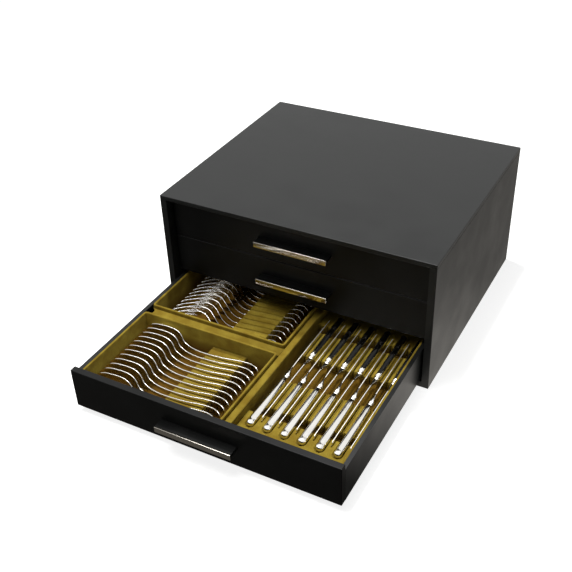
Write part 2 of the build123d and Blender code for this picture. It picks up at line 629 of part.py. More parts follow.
def make_knife_bay(place):
    """Write the knife bed, its racks and pocket plates, and the knives."""
    bay_x = (bay_left + FIT_CLEARANCE, inner_half - FIT_CLEARANCE)
    bay_y = (inner_start + FIT_CLEARANCE, inner_end - FIT_CLEARANCE)
    save("knife_bed", place * block(bay_x, bay_y, (drawer_floor, BED_TOP)))

    front_plate = (bay_y[0], front_handle_ends + POCKET_LENGTH)
    rear_plate = (rear_handle_ends - POCKET_LENGTH, bay_y[1])
    front_rack = (front_handle_ends + KNIFE_RACK_START,
                  front_handle_ends + KNIFE_RACK_START + KNIFE_RACK_LENGTH)
    rear_rack = (rear_handle_ends - KNIFE_RACK_START - KNIFE_RACK_LENGTH,
                 rear_handle_ends - KNIFE_RACK_START)
    end_inset = TROUGH_RADIUS - POCKET_END_GAP
    rooms = []
    for x in front_knife_axes:
        tip = front_handle_ends + KNIFE_LENGTH + BLADE_TIP_GAP
        rooms.append(handle_trough(x, front_handle_ends + end_inset, front_rack[1]))
        rooms.append(pocket_end(x, front_handle_ends + end_inset))
        rooms.append(blade_slot(x, front_handle_ends + KNIFE_HANDLE_LENGTH, tip))
    for x in rear_knife_axes:
        tip = rear_handle_ends - KNIFE_LENGTH - BLADE_TIP_GAP
        rooms.append(handle_trough(x, rear_rack[0], rear_handle_ends - end_inset))
        rooms.append(pocket_end(x, rear_handle_ends - end_inset))
        rooms.append(blade_slot(x, tip, rear_handle_ends - KNIFE_HANDLE_LENGTH))
    for name, y_range in (("front_pocket_plate", front_plate), ("front_knife_rack", front_rack),
                          ("rear_knife_rack", rear_rack), ("rear_pocket_plate", rear_plate)):
        save(name, place * (block(bay_x, y_range, (BED_TOP, RACK_TOP)) - rooms))

    knife = make_knife()
    save("front_knives", [place * Pos(x, front_handle_ends, KNIFE_AXIS) * knife
                          for x in front_knife_axes])
    save("rear_knives", [place * Pos(x, rear_handle_ends, KNIFE_AXIS) * Rot(0, 0, 180) * knife
                         for x in rear_knife_axes])


def make_linings():
    """Write the lined trays of the two upper drawers, each with three compartments."""
    x_range = (-inner_half + FIT_CLEARANCE, inner_half - FIT_CLEARANCE)
    y_range = (inner_start + FIT_CLEARANCE, inner_end - FIT_CLEARANCE)
    left_x = (x_range[0] + LINING_WALL, bay_wall_left)
    right_x = (bay_left, x_range[1] - LINING_WALL)
    front_y = (y_range[0] + LINING_WALL, cross_bar_start)
    rear_y = (cross_bar_end, y_range[1] - LINING_WALL)
    compartments = [(left_x, front_y), (left_x, rear_y), (right_x, (front_y[0], rear_y[1]))]
    for index in (1, 2):
        tray = lined_tray(x_range, y_range, LINING_TOP, compartments)
        save(f"{DRAWER_NAMES[index]}_tray", drawer_place(index) * tray)


make_cabinet()
for drawer_index, drawer_name in enumerate(DRAWER_NAMES):
    drawer_box(drawer_name, drawer_place(drawer_index))
make_trays(drawer_place(0))
make_bars(drawer_place(0))
make_knife_bay(drawer_place(0))
make_linings()
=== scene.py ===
"""A lacquered silverware chest: finishes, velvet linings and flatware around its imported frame."""

import math

import bmesh
import bpy
import numpy as np
from mathutils import Matrix, Vector


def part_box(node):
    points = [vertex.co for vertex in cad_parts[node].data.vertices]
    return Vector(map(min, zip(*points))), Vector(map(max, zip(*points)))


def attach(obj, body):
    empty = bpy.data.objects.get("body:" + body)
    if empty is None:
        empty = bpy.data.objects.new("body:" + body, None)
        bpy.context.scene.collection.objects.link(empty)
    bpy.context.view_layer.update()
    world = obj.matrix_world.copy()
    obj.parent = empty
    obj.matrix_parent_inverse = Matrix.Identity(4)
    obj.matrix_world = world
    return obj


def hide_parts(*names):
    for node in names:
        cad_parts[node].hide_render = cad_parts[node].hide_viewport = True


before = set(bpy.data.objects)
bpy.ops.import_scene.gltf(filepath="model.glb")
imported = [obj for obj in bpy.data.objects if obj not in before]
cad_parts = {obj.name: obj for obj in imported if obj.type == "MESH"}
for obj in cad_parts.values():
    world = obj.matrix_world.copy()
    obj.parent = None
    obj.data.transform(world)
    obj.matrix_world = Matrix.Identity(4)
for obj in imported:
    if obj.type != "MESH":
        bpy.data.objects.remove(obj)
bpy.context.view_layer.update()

bl_info = {
    "name": "Silverware chest",
    "version": (1, 0, 0),
    "blender": (4, 5, 0),
    "location": "View3D > Sidebar > Chest",
    "description": "Dresses a three-drawer silverware chest with lacquer, velvet and silver",
    "category": "Add Mesh",
}

MM = 0.001
DRAWERS = ("bottom", "middle", "top")
LOADED_DRAWER = "bottom_drawer"
FLATWARE_COUNT = 12            # spoons, and as many forks
KNIFE_COUNT = 6                # in each of the two directions
HANDLE_END_RADIUS = 5.4 * MM   # of a knife's handle, which sets its place in its solid
TRAY_FLOOR = 1.5 * MM          # thickness of a tray's floor
RACK_FLOOR = 4 * MM            # from a rack's underside to the bottom of its slots
RACK_EDGE = 0.6 * MM           # bevel along a rack's long sides
RACK_SIDE = 3 * MM             # least width left between a slot and a rack's side
# The knives' racks and pocket plates:
GRIP = 1.4 * MM                # how much narrower a rack's troughs are than the pockets
GRIP_RISE = 0.6 * MM           # height of a rack's trough above the knives' axes
RACK_MARGIN = 5 * MM           # from a rack's left end to the first knife's axis
RUN_OUT = 9 * MM               # how far a trough's middle runs on past its open end
TIP_ROOM = 2 * MM              # from a blade's tip to the end of its slit
EDGE_ROOM = 14.5 * MM          # depth of a blade's slit below the knives' axes
RACK_FALL = 4 * MM             # from a rack's top to its face between the ridges
RIDGE_FALL = 1.2 * MM          # from a rack's top to the ridges beside a blade
# A knife beyond its handle's neck:
BLADE_START = 2.5 * MM         # where the oval section begins to turn into a blade
BLADE_GROWTH = 9 * MM          # along which it turns
BLADE_FALL = 7.8 * MM          # how much lower the edge reaches than the spine is high
STEEL_START = 20 * MM          # where the handle's part ends and the blade's begins


# ---- Colours ----
def linear(hex_colour):
    """The linear RGB of an sRGB hex colour such as #4c4d4a."""
    channels = [int(hex_colour[i:i + 2], 16) / 255 for i in (1, 3, 5)]
    return tuple(c / 12.92 if c <= 0.04045 else ((c + 0.055) / 1.055) ** 2.4 for c in channels)


def opaque(colour):
    """A colour with full alpha."""
    return (*colour[:3], 1.0)


# ---- Settings ----
def colour_setting(name, surface, hex_colour):
    """A colour setting, with its default as an sRGB hex colour."""
    return bpy.props.FloatVectorProperty(
        name=name, description=f"Colour of the {surface}", default=linear(hex_colour),
        subtype="COLOR", min=0.0, max=1.0)


def mm_length(name, description, default, low, high):
    """A length setting, with its default and its limits in millimetres."""
    return bpy.props.FloatProperty(name=name, description=description, default=default * MM,
                                   min=low * MM, max=high * MM, unit="LENGTH")


def angle_setting(name, description, degrees):
    """An angle setting, with its default in degrees."""
    return bpy.props.FloatProperty(name=name, description=description,
                                   default=math.radians(degrees), subtype="ANGLE")


class ChestFinishes(bpy.types.PropertyGroup):
    """Colours of the chest's surfaces."""
    lacquer: colour_setting("Lacquer", "satin lacquer on the cabinet and fronts", "#131413")
    board: colour_setting("Stained board", "stained boards inside", "#1d1c1b")
    velvet: colour_setting("Velvet", "velvet where its pile stands up", "#94812f")
    velvet_shade: colour_setting("Brushed velvet", "velvet where its pile lies down", "#7b651f")
    # Painted shade: the darker, browner velvet colour laid low in the open drawer's hollows.
    velvet_painted_shade: colour_setting("Hollow velvet", "velvet deep in the open drawer", "#5c410f")
    silver: colour_setting("Silver", "polished flatware", "#f1efe9")
    strip: colour_setting("Pull strip", "polished strip on each pull", "#c8c2b8")


class FlatwareSizes(bpy.types.PropertyGroup):
    """Sizes of the spoons, forks and knives, and how far apart they lie."""
    metal: mm_length("Metal", "Thickness of a spoon's metal", 2.0, 0.5, 4)
    fork_metal: mm_length("Fork metal", "Thickness of a fork's metal", 1.4, 0.5, 4)
    bowl_depth: mm_length("Bowl depth", "Depth of a spoon's bowl", 7.0, 2, 15)
    spoon_pitch: mm_length("Spoon pitch", "Distance from one spoon to the next", 11.3, 5, 30)
    spoon_reach: mm_length(
        "Spoon reach", "From a spoon's rim to the front of its curled end", 16.3, 0, 40)
    fork_pitch: mm_length("Fork pitch", "Distance from one fork to the next", 11.8, 5, 30)
    fork_reach: mm_length(
        "Fork reach", "From the back of a fork's head to its curled end", 27.3, 0, 40)
    knife_handle: mm_length("Knife handle", "Length of a knife's handle", 104, 60, 130)
    knife_spine: mm_length("Knife spine", "Height of a knife's spine above its axis", 6.0, 0, 20)


class LiningSizes(bpy.types.PropertyGroup):
    """Sizes of the velvet-covered trays, bars and racks."""
    tray_wall: mm_length("Tray wall", "Thickness of a tray's wall with its velvet", 3.5, 1, 10)
    tray_corner: mm_length("Tray corner", "Radius of a tray's outer corners", 5.0, 1, 20)
    lining_wall: mm_length(
        "Lining wall", "Thickness of the walls of the upper drawers' trays", 5.0, 1, 10)
    pile: mm_length("Pile radius", "Radius to which velvet rounds an edge", 1.3, 0.3, 5)
    notch: mm_length("Finger notch", "Radius of the finger notch in the cross bar", 8.0, 0, 20)
    trough: mm_length("Trough radius", "Radius of the room for a knife's handle", 7.5, 3, 20)
    trough_rise: mm_length(
        "Trough rise", "Height of a trough's centre above the knife's axis", 1.6, 0, 10)
    pocket_end: mm_length("Pocket end", "From a knife's end to the end of its pocket", 3.2, 0, 10)
    slit: mm_length("Blade slit", "Width of the slit that holds a blade", 2.6, 1, 8)
    ridge: mm_length("Blade ridge", "Width of the ridges beside a blade", 1.9, 0.5, 5)
    bar: mm_length("Rack bar", "Width of the round bar at the left of a handle", 3.7, 1, 10)


class StudioSettings(bpy.types.PropertyGroup):
    """The camera and the lights."""
    camera_place: bpy.props.FloatVectorProperty(
        name="Camera place", description="Where the camera stands",
        default=(0.524059, -1.131416, 0.871341), subtype="TRANSLATION", unit="LENGTH")
    camera_turn: angle_setting(
        "Camera turn", "Angle round the chest, from its front to its right", 29.45)
    camera_height: angle_setting("Camera height", "Angle above the level", 35.07)
    camera_roll: angle_setting("Camera roll", "Turn of the picture about its centre", -2.12)
    lens: bpy.props.FloatProperty(
        name="Lens", description="Focal length on a 36 mm sensor", default=56.604,
        min=10.0, max=300.0, subtype="DISTANCE_CAMERA")
    key: bpy.props.FloatProperty(
        name="Key light", description="Power of the softbox", default=28.0, min=0.0, unit="POWER")
    spot: bpy.props.FloatProperty(
        name="Small lamp", description="Power of the small lamp overhead",
        default=22.0, min=0.0, unit="POWER")
    fill: bpy.props.FloatProperty(
        name="Ambient light", description="Strength of the light from all round", default=0.06,
        min=0.0)


# ---- Mesh helpers ----
def new_object(name, data):
    """An object in the scene for a mesh, a lamp or a camera."""
    made = bpy.data.objects.new(name, data)
    bpy.context.scene.collection.objects.link(made)
    return made


def mesh_piece(name, parts, body, finish, node):
    """One smooth object from (vertices, faces) parts that stands for a CAD node on its body.

    Its faces point outwards. The finish is one material, or a list with one for each part.
    """
    vertices, faces, start = [], [], 0
    for points, part_faces in parts:
        vertices.append(points)
        faces += [[start + index for index in face] for face in part_faces]
        start += len(points)
    mesh = bpy.data.meshes.new(name)
    mesh.from_pydata(np.concatenate(vertices).tolist(), [], faces)
    shape = bmesh.new()
    shape.from_mesh(mesh)
    bmesh.ops.recalc_face_normals(shape, faces=shape.faces)
    shape.to_mesh(mesh)
    shape.free()
    mesh.polygons.foreach_set("use_smooth", np.ones(len(mesh.polygons), bool))
    finishes = finish if isinstance(finish, list) else [finish] * len(parts)
    kinds = list(dict.fromkeys(finishes))
    for kind in kinds:
        mesh.materials.append(kind)
    mesh.polygons.foreach_set("material_index", np.repeat(
        [kinds.index(one) for one in finishes], [len(part[1]) for part in parts]))
    piece = new_object(name, mesh)
    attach(piece, body)
    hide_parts(node)


def loft(rings):
    """A closed surface through rings of points, an array of rings x points x 3.

    Each ring is closed on itself, neighbouring rings are joined by quads, and the first
    and the last ring are filled.
    """
    count, size = rings.shape[:2]
    here = np.arange(count * size).reshape(count, size)
    following = np.roll(here, -1, 1)
    quads = np.stack([here[:-1], following[:-1], following[1:], here[1:]], -1)
    ends = [here[0, ::-1].tolist(), here[-1].tolist()]
    return rings.reshape(-1, 3), quads.reshape(-1, 4).tolist() + ends


def rounded(corners, cut):
    """A closed outline with each corner rounded.

    A corner becomes a parabola between the points that lie the cut's length from it along
    its two edges.
    """
    corners = np.asarray(corners, float)[:, None]
    edges = [np.roll(corners, turn, 0) - corners for turn in (1, -1)]
    start, end = (corners + cut * edge / np.linalg.norm(edge, axis=-1, keepdims=True)
                  for edge in edges)
    share = np.linspace(0, 1, 4)[:, None]
    curve = (1 - share) ** 2 * start + 2 * share * (1 - share) * corners + share ** 2 * end
    return curve.reshape(-1, 2)


def rim_steps(radius, steps=5):
    """Insets and drops of a quarter-round edge, from its outer side to its top."""
    angle = np.linspace(0, math.pi / 2, steps)
    return radius * (1 - np.cos(angle)), radius * (1 - np.sin(angle))


def rounded_rectangle(low, high, inset, radius):
    """An outline of four straight sides and four quarter circles, drawn in by an inset."""
    low, high = np.asarray(low) + inset, np.asarray(high) - inset
    radius = max(radius - inset, 0.2 * MM)
    side = np.array([(1, 1), (-1, 1), (-1, -1), (1, -1)])[:, None]
    centre = np.where(side > 0, high, low) - side * radius
    here = np.linspace(0, math.pi / 2, 8) + np.arange(4)[:, None] * math.pi / 2
    outline = centre + radius * np.stack([np.cos(here), np.sin(here)], -1)
    return outline.reshape(-1, 2)


def through(distance, places, values):
    """A smooth profile through given values at given places.

    Between two places it is a cubic that meets both values, with the slopes that their
    neighbours give there.
    """
    slopes = np.gradient(values, places)
    first = np.clip(np.searchsorted(places, distance, side="right") - 1, 0, len(places) - 2)
    step = places[first + 1] - places[first]
    share = np.clip((distance - places[first]) / step, 0, 1)
    rest = 1 - share
    return ((1 + 2 * share) * rest ** 2 * values[first] + share * rest ** 2 * step * slopes[first]
            + share ** 2 * (3 - 2 * share) * values[first + 1]
            - share ** 2 * rest * step * slopes[first + 1])


def round_end(distance, reach, power=2.0):
    """A factor that rises from 0 to 1 over a reach, as a quarter of a rounded oval."""
    gap = np.clip(1 - distance / reach, 0, 1)
    return np.maximum(1 - gap ** power, 0) ** (1 / power)


def copies(part, offsets):
    """One part repeated at each offset."""
    points, faces = part
    return [(points + offset, faces) for offset in offsets]


def stacked(outlines, places, axis=2):
    """A closed surface through flat outlines, each at its own place along an axis."""
    places = np.broadcast_to(places[:, None], outlines.shape[:2])
    return loft(np.insert(outlines, axis, places, -1))


def padded_bar(low, high, radius, outline=None):
    """A velvet-covered bar: an upright outline whose top edge is a quarter round.

    The outline is repeated from the bottom up, and over the top it is drawn in as the
    cosine, and raised as the sine, of an angle that goes through a right angle.
    """
    if outline is None:
        outline = rounded_rectangle(low[:2], high[:2], 0, radius)
    inward = np.roll(outline, -1, 0) - np.roll(outline, 1, 0)
    inward = np.stack([-inward[:, 1], inward[:, 0]], -1)
    inward /= np.linalg.norm(inward, axis=1)[:, None]
    insets, drops = rim_steps(radius)
    plan = outline + np.concatenate([[0], insets])[:, None, None] * inward
    return stacked(plan, np.concatenate([[low[2]], high[2] - drops]))


def padded_tray(low, high, wall, corner, floor, radius):
    """A velvet-covered tray: one wall profile carried round a rounded rectangle.

    The profile goes up the outer side, over a round rim and down the inner side, and turns
    into the floor in a small cove.
    """
    insets, drops = rim_steps(radius)
    across, down = rim_steps(2 * radius)
    insets = np.concatenate([[0], insets, wall - insets[::-1], wall + down[::-1]])
    heights = np.concatenate([[low[2]], high[2] - drops, high[2] - drops[::-1],
                              floor + across[::-1]])
    return stacked(np.stack([rounded_rectangle(low[:2], high[:2], inset, corner)
                             for inset in insets]), heights)


def padded_block(across, along, tops, bottom, radius, swap=False):
    """A velvet-covered block whose top is a height for each place on a grid.

    Each row is a closed ring: the top's heights across the block and its two bottom
    corners. Near the first and the last row the top drops as a quarter round. The places
    across may differ from row to row.
    """
    edge = np.minimum(along - along[0], along[-1] - along)
    drop = radius * (1 - round_end(edge, radius))
    tops = np.maximum(tops - drop[:, None], bottom + radius / 4)
    heights = np.pad(tops, ((0, 0), (1, 1)), constant_values=bottom)
    rows = np.broadcast_to(along[:, None], heights.shape)
    sides = np.pad(np.broadcast_to(across, tops.shape), ((0, 0), (1, 1)), mode="edge")
    order = (rows, sides, heights) if swap else (sides, rows, heights)
    return loft(np.stack(order, -1))


def end_rows(start, end, radius, spacing):
    """Places from start to end: close together at both ends, where the top is rounded."""
    near = rim_steps(radius, 6)[0]
    middle = np.linspace(start + radius, end - radius,
                         max(2, int(round((end - start) / spacing))))[1:-1]
    return np.concatenate([start + near, middle, end - near[::-1]])


def capsule_room(across, along, x, start, end, centre, radius):
    """Heights of a trough with round ends, seen from above, and no limit outside it."""
    beyond = along - np.clip(along, start, end)
    distance = np.hypot(beyond[:, None], across[None, :] - x)
    floor = centre - np.sqrt(np.clip(radius ** 2 - distance ** 2, 0, None))
    return np.where(distance < radius, floor, np.inf)


def flat_metal(station, half_width, depth, dish, metal, across=9, edge=1.0):
    """The metal of a spoon or fork on edge, as a closed surface.

    The first parameter runs along it and the second round it: up one flat face, over a
    rounded edge, down the other face and round the lower edge. The edges' radius is half
    the metal's thickness times the edge share. A point's depth is the plan curve, plus the
    dish times one minus the square of its height over the half width, plus its place on
    the section.
    """
    face = np.unique(np.concatenate([np.linspace(-1, 1, across), [-0.985, 0.985]]))
    angle = np.linspace(math.pi, 0, 7)[1:-1]
    flat = np.concatenate([face, np.ones(5), face[::-1], -np.ones(5)])
    rise = np.concatenate([0 * face, np.sin(angle), 0 * face, -np.sin(angle)])
    side = np.concatenate([0 * face - 1, np.cos(angle), 0 * face + 1, -np.cos(angle)])
    thick = np.minimum(metal / 2, 0.9 * half_width)[:, None]
    radius = edge * thick
    half = half_width[:, None]
    z = (half - radius) * flat + radius * rise
    share = np.divide(z, half, out=np.zeros_like(z), where=half > 0)
    x = np.broadcast_to(station[:, None], z.shape)
    y = (depth[:, None] + dish[:, None] * (1 - share ** 2) + radius * side
         + (thick - radius) * np.sign(np.round(side, 6)))
    return loft(np.stack([x, y, z], -1))


def stations(length, count, *close):
    """Places along a length, dense at its ends and round some further places."""
    even = length * (1 - np.cos(np.linspace(0, math.pi, count))) / 2
    extra = [place + np.linspace(-4, 4, 9) * MM for place in close]
    return np.unique(np.round(np.concatenate([even, *extra]), 6))


def handle_width(distance, length, widths):
    """Half the width of a spoon's or fork's handle, with its round end."""
    return through(distance, *widths) * round_end(length - distance, 9 * MM, 2.2)


def thin_ends(start, end):
    """A factor for a metal's thickness, rounded off near its start and its end."""
    return round_end(start, 1.5 * MM) * round_end(end, 1.5 * MM)


# How far a spoon's line stands behind its bowl's rim, and half its width, along its length:
SPOON_LINE = np.array([[0, -3], [14, -2.6], [27, -1.2], [44, 0], [58, -1.0], [68, -3.4],
                       [80, -7.0], [97, -10.4], [118, -11.7], [142, -11.2], [173, -8.3],
                       [188, -9.0], [203, -15]]).T * MM
SPOON_WIDTHS = np.array([[0, 21.0], [27, 21.0], [44, 20.9], [57, 19.6], [63, 17.0], [66.5, 13.0],
                         [68.5, 8.5], [71, 5.6], [78, 3.8], [97, 3.2], [120, 4.5], [142, 6.0],
                         [173, 8.5], [190, 9.4], [203, 9.6]]).T * MM
# The same of a fork, whose line stands behind the back of its head:
FORK_LINE = np.array([[0, -24], [7, -16], [16, -9], [36, -2.4], [47, 0], [56, -1.2], [68, -8.5],
                      [82, -18.5], [94, -23.6], [110, -24.6], [135, -22.3], [163, -19.8],
                      [177, -20.2], [188, -25]]).T * MM
FORK_WIDTHS = np.array([[0, 12.7], [47, 12.7], [54, 11.2], [62, 7.4], [72, 4.6], [84, 3.4],
                        [100, 3.1], [130, 3.9], [150, 4.7], [162, 5.5], [171, 7.8],
                        [188, 8.8]]).T * MM
# Half a knife's width and its spine's height, from the handle's end and then from the neck:
KNIFE_HANDLE = np.array([[0, 5.3, 4.9], [6, 5.5, 5.1], [10, 5.1, 4.7], [15, 5.4, 4.9],
                         [45, 5.2, 5.1], [75, 4.9, 5.5], [92, 4.4, 5.8], [100, 3.9, 5.9]]) * MM
KNIFE_BOLSTER = np.array([[-3, 3.1, 4.6], [-1.5, 2.6, 3.4], [-0.5, 3.7, 4.4], [1, 3.7, 4.4],
                          [2, 2.6, 3.3], [3.2, 3.9, 4.1], [4.5, 3.9, 4.4], [9, 2.6, 5.0],
                          [14, 1.4, 5.4], [20, 0.9, 5.7], [30, 0.9, 6.0]]) * MM


def spoon_shape(length, sizes):
    """One spoon on edge: an egg-shaped bowl, a slim neck and a handle that widens."""
    bowl_middle, bowl_reach, neck = 33 * MM, 36 * MM, 68 * MM
    along = stations(length, 60, neck)
    half = handle_width(along, length, SPOON_WIDTHS) * round_end(along, 27 * MM, 2.1)
    dish = sizes.bowl_depth * np.clip(1 - ((along - bowl_middle) / bowl_reach) ** 2, 0, None)
    metal = sizes.metal * thin_ends(along, length - along)
    return [flat_metal(along, half, through(along, *SPOON_LINE), dish, metal)]


def fork_shape(length, sizes):
    """One fork on edge: four tapered tines that grow out of a curved palm, and a handle."""
    slots, root = 38 * MM, 46 * MM          # where the slots end, and the tines in the palm
    along = slots + stations(length - slots, 50, root - slots)
    half = handle_width(along, length, FORK_WIDTHS)
    metal = sizes.fork_metal * thin_ends(along - slots, length - along)
    palm = flat_metal(along, half, through(along, *FORK_LINE), 0 * along, metal, edge=0.5)
    run = stations(root, 22)
    tine = np.interp(run, np.array([0, 30, 38, 42]) * MM, np.array([0.9, 1.6, 2.1, 3.2]) * MM)
    metal = sizes.fork_metal * round_end(run, 2 * MM) * np.interp(run, [slots, root], [1, 0.5])
    one = flat_metal(run, tine * round_end(run, 3 * MM), through(run, *FORK_LINE), 0 * run,
                     metal, across=3, edge=0.35)
    spread = (12.7 - 3.2) * MM              # half the palm less half an outer tine's root
    return [palm] + copies(one, [(0, 0, spread * share) for share in (-1, -1 / 3, 1 / 3, 1)])


def knife_shape(length, sizes):
    """One knife on edge, its handle's end at y = 0 and its axis at x = z = 0.

    It comes as two parts that meet beyond the bolster: the handle, then the blade.
    Rings along it reach from its lower to its upper edge and are as wide as it is thick.
    The cosine and sine round each ring are raised to a power that goes from 0.78, a full
    oval handle, to a third, a blade with a flat spine. The blade thins towards its edge.
    """
    neck, joint = sizes.knife_handle, sizes.knife_handle + STEEL_START
    along = stations(length, 60, 10 * MM, neck, neck + 5 * MM, neck + 12 * MM, length - 3 * MM)
    along = np.union1d(along, joint + np.array([-0.1, 0.0, 0.1]) * MM)
    tip = np.array([[length, 0.8 * MM, 6.0 * MM]])
    profile = np.concatenate([KNIFE_HANDLE, KNIFE_BOLSTER + [neck, 0, 0], tip])
    blade = np.clip((along - neck - BLADE_START) / BLADE_GROWTH, 0, 1)
    butt = round_end(along, 5.5 * MM, 2.4)
    half = through(along, profile[:, 0], profile[:, 1]) * butt
    half = half * np.sqrt(round_end(length - along, 3 * MM))
    top = through(along, profile[:, 0], profile[:, 2]) * butt
    low = -top - BLADE_FALL * blade * (2 - blade)
    top = top * round_end(length - along, 3 * MM)
    low = low * round_end(length - along, 15 * MM)
    blade = blade[:, None]
    power = 0.78 - 0.45 * blade
    angle = np.linspace(0, 2 * math.pi, 28, endpoint=False)
    side, rise = (np.sign(share) * np.abs(share) ** power
                  for share in (np.cos(angle), np.sin(angle)))
    x = half[:, None] * side * (1 - 0.7 * blade * (1 - rise) / 2)
    z = (top + low)[:, None] / 2 + (top - low)[:, None] / 2 * rise
    rings = np.stack([x, np.broadcast_to(along[:, None], x.shape), z], -1)
    joint = np.searchsorted(along, joint)
    return [loft(rings[:joint + 1]), loft(rings[joint:])]


def rounded_strip(low, high, radius):
    """A metal strip with softened edges: a rounded profile carried along x."""
    profile = rounded([(low[1], low[2]), (high[1], low[2]), (high[1], high[2]),
                       (low[1], high[2])], radius)
    centre = (np.asarray(low)[1:] + np.asarray(high)[1:]) / 2
    ends, inset = rim_steps(radius, 4)
    half = np.abs(profile - centre).max(0)
    x = np.concatenate([low[0] + ends, high[0] - ends[::-1]])
    inset = np.concatenate([inset, inset[::-1]])
    section = centre + (profile - centre) * (1 - inset[:, None, None] / half)
    return stacked(section, x, axis=0)


# ---- Materials ----
def add_node(tree, kind, inputs=(), **properties):
    """Add a node with its settings; an input is given a value or a socket to link from."""
    node = tree.nodes.new(kind)
    for name, value in properties.items():
        setattr(node, name, value)
    for name, value in dict(inputs).items():
        if isinstance(value, bpy.types.NodeSocket):
            tree.links.new(value, node.inputs[name])
        else:
            node.inputs[name].default_value = value
    return node


def new_material(name):
    """An empty material and its Object coordinates, a socket that leads to its node tree."""
    made = bpy.data.materials.new(name)
    made.use_nodes = True
    made.node_tree.nodes.clear()
    return made, add_node(made.node_tree, "ShaderNodeTexCoord").outputs["Object"]


def finish_material(made, inputs):
    """Give a material its surface shader, and return it."""
    shader = add_node(made.node_tree, "ShaderNodeBsdfPrincipled", inputs)
    add_node(made.node_tree, "ShaderNodeOutputMaterial", {"Surface": shader.outputs[0]})
    return made


def noise(place, size, detail=2.0, stretch=(1, 1, 1)):
    """A noise between 0 and 1 whose features are about one size across, in metres."""
    tree = place.id_data
    scaled = add_node(tree, "ShaderNodeMapping", {"Vector": place, "Scale": stretch})
    return add_node(tree, "ShaderNodeTexNoise", {
        "Vector": scaled.outputs[0], "Scale": 1 / size, "Detail": detail}).outputs["Fac"]


def between(factor, low, high, start=0.35, end=0.65):
    """A value that goes from low to high as a noise goes from start to end."""
    return add_node(factor.id_data, "ShaderNodeMapRange", {
        "Value": factor, "From Min": start, "From Max": end,
        "To Min": low, "To Max": high}).outputs[0]


def mixed(factor, first, second):
    """A colour between two colours."""
    return add_node(factor.id_data, "ShaderNodeMix", {0: factor, 6: first, 7: second},
                    data_type="RGBA").outputs[2]


def bump(height, strength, distance):
    """A normal from a height, with its depth in metres."""
    return add_node(height.id_data, "ShaderNodeBump", {
        "Height": height, "Strength": strength, "Distance": distance}).outputs[0]


def shades(factor, colour, dark, light):
    """A colour that goes from a dark to a light share of itself as a noise rises."""
    dark, light = (opaque([min(1.0, c * share) for c in colour]) for share in (dark, light))
    return mixed(between(factor, 0, 1), dark, light)


def hex_shades(factor, dark, light):
    """A colour between two sRGB hex colours."""
    return mixed(factor, opaque(linear(dark)), opaque(linear(light)))


def lacquer(colours, name, cloud_size, grain_size, tones, gloss, relief):
    """Charcoal nitrocellulose lacquer, sprayed and rubbed: even, with a soft gloss."""
    made, place = new_material(name)
    cloud = noise(place, cloud_size, 3.0)
    return finish_material(made, {
        "Base Color": shades(cloud, colours.lacquer, *tones),
        "IOR": 1.5, "Specular IOR Level": gloss, "Roughness": between(cloud, 0.34, 0.42),
        "Normal": bump(noise(place, grain_size), relief, 0.05 * MM)})


def satin_lacquer(colours):
    """The lacquer rubbed to a satin, on the cabinet: charcoal, with a broad soft gloss."""
    return lacquer(colours, "satin_black_lacquer", 60 * MM, 1.2 * MM, (0.85, 1.2), 0.26, 0.12)


def front_lacquer_painted_shade(colours):
    """The same lacquer on the fronts with its colour cut to a fifth or a third and less gloss:
    painted shade, a deeper black and a softer mirror.
    """
    return lacquer(colours, "rubbed_black_lacquer", 45 * MM, 1.0 * MM, (0.2, 0.35), 0.17, 0.06)


def stained_board(colours):
    """Fibreboard stained black and left matte: fine fibres and a dusty surface."""
    made, place = new_material("stained_fibreboard")
    fibre = noise(place, 0.8 * MM, 4.0, (1, 3, 1))
    return finish_material(made, {
        "Base Color": shades(fibre, colours.board, 0.7, 1.2),
        "Roughness": between(fibre, 0.55, 0.75), "Specular IOR Level": 0.35,
        "Normal": bump(fibre, 0.2, 0.1 * MM)})


def velvet(colours):
    """Cotton velvet glued over board: short pile that clouds where it was brushed aside; painted
    shade darkens it low in the open drawer.
    """
    made, place = new_material("cotton_velvet")
    brushed = noise(place, 22 * MM, 3.0)
    # Real pile is about 0.2 mm across; it is drawn at 0.9 mm, the finest that shows.
    pile = noise(place, 0.9 * MM)
    colour = mixed(between(brushed, 0, 1), opaque(colours.velvet_shade), opaque(colours.velvet))
    colour = mixed(between(pile, 0.0, 0.35), colour,
                   opaque([c * 0.62 for c in colours.velvet_shade]))
    # Painted shade: low in the open drawer, from 47 mm down to 30 mm up, the velvet turns to a
    # darker, browner colour that stands for the shade in its hollows.
    height = add_node(made.node_tree, "ShaderNodeSeparateXYZ", {0: place}).outputs["Z"]
    colour = mixed(between(height, 0, 1, 30 * MM, 47 * MM), opaque(colours.velvet_painted_shade), colour)
    return finish_material(made, {
        "Base Color": colour, "Roughness": 0.95, "Specular IOR Level": 0.1,
        "Sheen Weight": 0.25, "Sheen Roughness": 0.4, "Sheen Tint": opaque(linear("#e8dc84")),
        "Normal": bump(pile, 0.45, 0.35 * MM)})


def silver_plate(colours, name, smoothest, roughest):
    """Silver plate: a bright metal with hairline wiping marks and a thin film."""
    made, place = new_material(name)
    marks = noise(place, 1.5 * MM, 3.0, (0.3, 1, 1))
    return finish_material(made, {
        "Base Color": shades(noise(place, 30 * MM), colours.silver, 0.93, 1),
        "Metallic": 1.0, "Roughness": between(marks, smoothest, roughest)})


def blade_steel():
    """Stainless blade steel: flanks polished to a mirror, the spine left as it was ground."""
    made, place = new_material("stainless_blade_steel")
    marks = noise(place, 0.7 * MM, 3.0, (0.2, 1, 0.2))
    faces = add_node(made.node_tree, "ShaderNodeNewGeometry").outputs["Normal"]
    rise = add_node(made.node_tree, "ShaderNodeSeparateXYZ", {0: faces}).outputs["Z"]
    return finish_material(made, {
        "Base Color": hex_shades(marks, "#dedbd4", "#f0eee8"), "Metallic": 1.0,
        "Roughness": between(rise, 0.12, 0.5, 0.3, 0.7), "Normal": bump(marks, 0.04, 0.03 * MM)})


